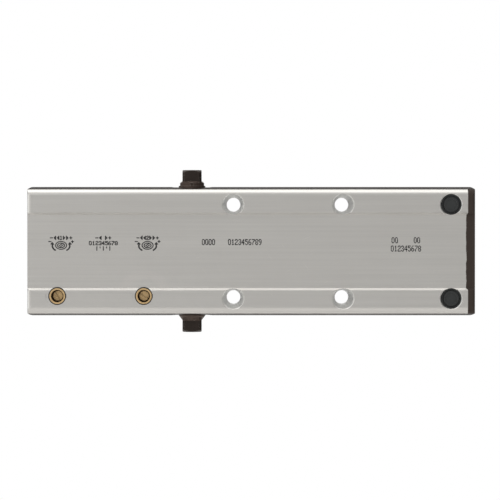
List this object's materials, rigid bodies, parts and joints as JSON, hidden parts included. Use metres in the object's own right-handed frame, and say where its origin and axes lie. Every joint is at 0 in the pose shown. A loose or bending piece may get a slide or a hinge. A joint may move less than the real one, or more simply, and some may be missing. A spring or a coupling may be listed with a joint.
{
  "type": "door closer",
  "caption": "Surface-mounted hydraulic door closer body with a rack-and-pinion spindle, drive squares at both ends, piston, closing spring and slotted speed valves.",
  "frame": {"origin": "centre of the four fixing holes on the mounting face", "axes": "+X along the body from the latching end to the spring end, -Y out of the mounting face, +Z along the spindle"},
  "size_m": [0.224, 0.042, 0.082],
  "materials": {
    "body_alloy": "linished bare alloy on the mounting face, dark brown paint on the other sides",
    "painted_plug": "dark brown satin paint",
    "spindle_steel": "dark brown-black phosphated steel",
    "bearing_steel": "ground bearing steel",
    "piston_iron": "turned and ground iron, oiled",
    "spring_steel": "shot-peened oil-tempered wire",
    "valve_brass": "turned brass",
    "seal_rubber": "nitrile rubber",
    "plug_plastic": "moulded dark grey polyamide"
  },
  "bodies": {
    "housing": {"closer_body": "body_alloy", "left_end_plug": "painted_plug", "right_end_plug": "painted_plug", "left_end_o_ring": "seal_rubber", "right_end_o_ring": "seal_rubber", "upper_bearing_shell": "bearing_steel", "lower_bearing_shell": "bearing_steel", "upper_shaft_seal": "seal_rubber", "lower_shaft_seal": "seal_rubber", "upper_bearing_cap": "painted_plug", "lower_bearing_cap": "painted_plug", "upper_cap_o_ring": "seal_rubber", "lower_cap_o_ring": "seal_rubber", "closing_spring": "spring_steel", "latching_valve_bushes": "valve_brass", "closing_valve_bushes": "valve_brass", "oil_way_sealing_balls": "bearing_steel", "upper_blanking_plug": "plug_plastic", "lower_blanking_plug": "plug_plastic"},
    "spindle": {"spindle": "spindle_steel"},
    "upper_roller_set": {"upper_needle_rollers": "bearing_steel"},
    "lower_roller_set": {"lower_needle_rollers": "bearing_steel"},
    "piston": {"piston": "piston_iron", "check_ball_retainer": "bearing_steel", "relief_screw": "piston_iron", "relief_spring": "spring_steel"},
    "check_ball": {"check_ball": "bearing_steel"},
    "relief_ball": {"relief_ball": "bearing_steel"},
    "latching_valve_carrier": {"latching_valve_o_rings": "seal_rubber"},
    "latching_valve": {"latching_valve_screw": "valve_brass"},
    "closing_valve_carrier": {"closing_valve_o_rings": "seal_rubber"},
    "closing_valve": {"closing_valve_screw": "valve_brass"}
  },
  "joints": [
    {"name": "spindle_turn", "type": "hinge", "parent": "housing", "child": "spindle", "pos_m": [-0.0485, 0.021, 0], "axis": [0, 0, 1], "range_deg": [0, 180], "stiffness_Nm_per_rad": 2.25},
    {"name": "piston_slide", "type": "slide", "parent": "housing", "child": "piston", "axis": [1, 0, 0], "range_m": [0, 0.02356], "deforming": ["closing_spring"]},
    {"name": "upper_roller_orbit", "type": "hinge", "parent": "housing", "child": "upper_roller_set", "pos_m": [-0.0485, 0.021, 0], "axis": [0, 0, 1], "range_deg": [0, 77]},
    {"name": "lower_roller_orbit", "type": "hinge", "parent": "housing", "child": "lower_roller_set", "pos_m": [-0.0485, 0.021, 0], "axis": [0, 0, 1], "range_deg": [0, 77]},
    {"name": "check_ball_lift", "type": "slide", "parent": "piston", "child": "check_ball", "axis": [-1, 0, 0], "range_m": [0, 0.001]},
    {"name": "relief_ball_lift", "type": "slide", "parent": "piston", "child": "relief_ball", "axis": [1, 0, 0], "range_m": [0, 0.0008], "stiffness_N_per_m": 20, "deforming": ["relief_spring"]},
    {"name": "latching_valve_travel", "type": "slide", "parent": "housing", "child": "latching_valve_carrier", "axis": [0, 1, 0], "range_m": [-0.0008, 0.0008]},
    {"name": "latching_valve_turn", "type": "hinge", "parent": "latching_valve_carrier", "child": "latching_valve", "pos_m": [-0.1155, 0, -0.0223], "axis": [0, 1, 0], "range_deg": [-360, 360]},
    {"name": "closing_valve_travel", "type": "slide", "parent": "housing", "child": "closing_valve_carrier", "axis": [0, 1, 0], "range_m": [-0.0008, 0.0008]},
    {"name": "closing_valve_turn", "type": "hinge", "parent": "closing_valve_carrier", "child": "closing_valve", "pos_m": [-0.07224, 0, -0.0223], "axis": [0, 1, 0], "range_deg": [-360, 360]}
  ],
  "couplings": [
    {"joint": "spindle_turn", "follows": "piston_slide", "rad_per_m": 133.33},
    {"joint": "upper_roller_orbit", "follows": "piston_slide", "rad_per_m": 56.461},
    {"joint": "lower_roller_orbit", "follows": "piston_slide", "rad_per_m": 56.461},
    {"joint": "latching_valve_turn", "follows": "latching_valve_travel", "rad_per_m": 7854},
    {"joint": "closing_valve_turn", "follows": "closing_valve_travel", "rad_per_m": 7854}
  ]
}
